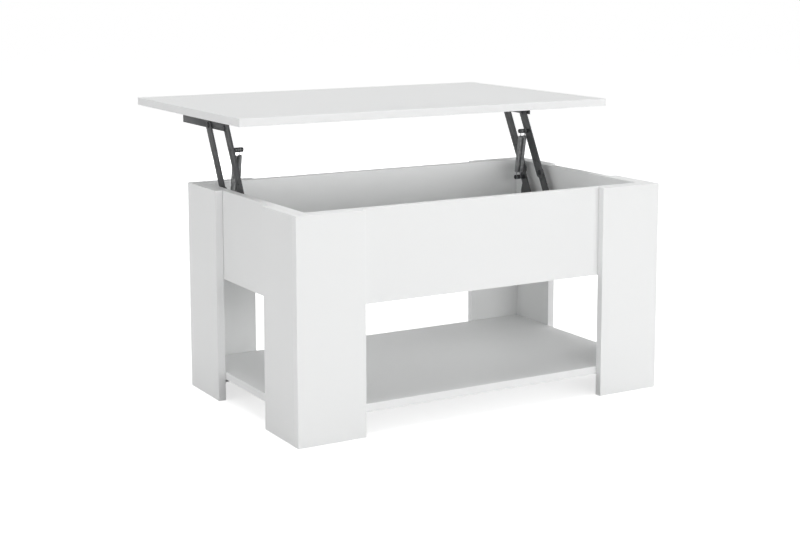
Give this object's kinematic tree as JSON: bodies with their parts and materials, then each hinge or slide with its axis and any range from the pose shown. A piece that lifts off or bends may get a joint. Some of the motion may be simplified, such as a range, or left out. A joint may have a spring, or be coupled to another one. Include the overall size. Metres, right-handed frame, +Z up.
{
  "type": "lift top coffee table",
  "caption": "Rectangular coffee table whose top lifts and shifts on sprung parallelogram arms over a storage box, with a lower shelf between L-shaped corner legs.",
  "frame": {"origin": "on the floor, at the middle of the footprint of the table with its top raised", "axes": "+X along the long side, left to right seen from the front; +Y from the front to the side the top shifts to; +Z up"},
  "size_m": [0.8, 0.689, 0.547],
  "materials": {
    "white_laminate": "white melamine faced particle board with matching edge band, satin",
    "black_painted_steel": "black powder coated pressed sheet steel, satin",
    "spring_steel": "dark oiled spring wire",
    "dark_zinc_plate": "black zinc plated steel, satin"
  },
  "bodies": {
    "base": {"front_left_leg_face_board": "white_laminate", "front_left_leg_side_board": "white_laminate", "front_right_leg_face_board": "white_laminate", "front_right_leg_side_board": "white_laminate", "rear_left_leg_face_board": "white_laminate", "rear_left_leg_side_board": "white_laminate", "rear_right_leg_face_board": "white_laminate", "rear_right_leg_side_board": "white_laminate", "front_apron": "white_laminate", "rear_apron": "white_laminate", "left_apron": "white_laminate", "right_apron": "white_laminate", "storage_floor": "white_laminate", "lower_shelf": "white_laminate", "left_bracket": "black_painted_steel", "left_lower_spring_stud": "dark_zinc_plate", "left_front_lower_pivot": "dark_zinc_plate", "left_rear_lower_pivot": "dark_zinc_plate", "left_bracket_screw_1": "dark_zinc_plate", "left_bracket_screw_2": "dark_zinc_plate", "left_bracket_screw_3": "dark_zinc_plate", "right_bracket": "black_painted_steel", "right_lower_spring_stud": "dark_zinc_plate", "right_front_lower_pivot": "dark_zinc_plate", "right_rear_lower_pivot": "dark_zinc_plate", "right_bracket_screw_1": "dark_zinc_plate", "right_bracket_screw_2": "dark_zinc_plate", "right_bracket_screw_3": "dark_zinc_plate"},
    "tabletop": {"tabletop": "white_laminate", "left_rail": "black_painted_steel", "left_front_upper_pivot": "dark_zinc_plate", "left_rear_upper_pivot": "dark_zinc_plate", "left_rail_screw_1": "dark_zinc_plate", "left_rail_screw_2": "dark_zinc_plate", "left_rail_screw_3": "dark_zinc_plate", "right_rail": "black_painted_steel", "right_front_upper_pivot": "dark_zinc_plate", "right_rear_upper_pivot": "dark_zinc_plate", "right_rail_screw_1": "dark_zinc_plate", "right_rail_screw_2": "dark_zinc_plate", "right_rail_screw_3": "dark_zinc_plate"},
    "left_rear_arm": {"left_rear_arm": "black_painted_steel"},
    "left_front_arm": {"left_front_arm": "black_painted_steel", "left_upper_spring_stud": "dark_zinc_plate"},
    "left_spring_swivel": {"left_outer_spring": "spring_steel", "left_inner_spring": "spring_steel"},
    "left_spring_end_coils": {"left_outer_spring_core": "spring_steel", "left_inner_spring_core": "spring_steel"},
    "left_spring_hooks": {"left_outer_spring_upper_hook": "spring_steel", "left_inner_spring_upper_hook": "spring_steel"},
    "right_rear_arm": {"right_rear_arm": "black_painted_steel"},
    "right_front_arm": {"right_front_arm": "black_painted_steel", "right_upper_spring_stud": "dark_zinc_plate"},
    "right_spring_swivel": {"right_outer_spring": "spring_steel", "right_inner_spring": "spring_steel"},
    "right_spring_end_coils": {"right_outer_spring_core": "spring_steel", "right_inner_spring_core": "spring_steel"},
    "right_spring_hooks": {"right_outer_spring_upper_hook": "spring_steel", "right_inner_spring_upper_hook": "spring_steel"}
  },
  "joints": [
    {"name": "lift", "type": "hinge", "parent": "base", "child": "left_rear_arm", "pos_m": [-0.33965, 0.05152, 0.386], "axis": [1, 0, 0], "range_deg": [0, 121.71]},
    {"name": "top_level", "type": "hinge", "parent": "left_rear_arm", "child": "tabletop", "pos_m": [-0.33965, 0.11677, 0.50873], "axis": [1, 0, 0], "range_deg": [-121.71, 0]},
    {"name": "left_front_arm_swing", "type": "hinge", "parent": "base", "child": "left_front_arm", "pos_m": [-0.33965, -0.01848, 0.386], "axis": [1, 0, 0], "range_deg": [0, 121.71]},
    {"name": "right_rear_arm_swing", "type": "hinge", "parent": "base", "child": "right_rear_arm", "pos_m": [0.33965, 0.05152, 0.386], "axis": [1, 0, 0], "range_deg": [0, 121.71]},
    {"name": "right_front_arm_swing", "type": "hinge", "parent": "base", "child": "right_front_arm", "pos_m": [0.33965, -0.01848, 0.386], "axis": [1, 0, 0], "range_deg": [0, 121.71]},
    {"name": "left_spring_swing", "type": "hinge", "parent": "base", "child": "left_spring_swivel", "pos_m": [-0.327, 0.04307, 0.37011], "axis": [1, 0, 0], "range_deg": [0, 76.41], "deforming": ["left_outer_spring", "left_inner_spring"]},
    {"name": "left_spring_stretch", "type": "slide", "parent": "left_spring_swivel", "child": "left_spring_end_coils", "axis": [0, -0.1735, 0.9848], "range_m": [0, 0.05535], "deforming": ["left_outer_spring_core", "left_inner_spring_core"]},
    {"name": "left_spring_hook_swing", "type": "hinge", "parent": "left_front_arm", "child": "left_spring_hooks", "pos_m": [-0.3242, 0.02565, 0.469], "axis": [1, 0, 0], "range_deg": [-45.32, 0]},
    {"name": "right_spring_swing", "type": "hinge", "parent": "base", "child": "right_spring_swivel", "pos_m": [0.327, 0.04307, 0.37011], "axis": [1, 0, 0], "range_deg": [0, 76.41], "deforming": ["right_outer_spring", "right_inner_spring"]},
    {"name": "right_spring_stretch", "type": "slide", "parent": "right_spring_swivel", "child": "right_spring_end_coils", "axis": [0, -0.1735, 0.9848], "range_m": [0, 0.05535], "deforming": ["right_outer_spring_core", "right_inner_spring_core"]},
    {"name": "right_spring_hook_swing", "type": "hinge", "parent": "right_front_arm", "child": "right_spring_hooks", "pos_m": [0.3242, 0.02565, 0.469], "axis": [1, 0, 0], "range_deg": [-45.32, 0]}
  ],
  "couplings": [
    {"joint": "top_level", "follows": "lift", "ratio": -1},
    {"joint": "left_front_arm_swing", "follows": "lift", "ratio": 1},
    {"joint": "right_rear_arm_swing", "follows": "lift", "ratio": 1},
    {"joint": "right_front_arm_swing", "follows": "lift", "ratio": 1},
    {"joint": "left_spring_swing", "follows": "lift", "ratio": 0.62769},
    {"joint": "left_spring_stretch", "follows": "lift", "m_per_rad": 0.026008},
    {"joint": "left_spring_hook_swing", "follows": "lift", "ratio": -0.37231},
    {"joint": "right_spring_swing", "follows": "lift", "ratio": 0.62769},
    {"joint": "right_spring_stretch", "follows": "lift", "m_per_rad": 0.026008},
    {"joint": "right_spring_hook_swing", "follows": "lift", "ratio": -0.37231}
  ]
}
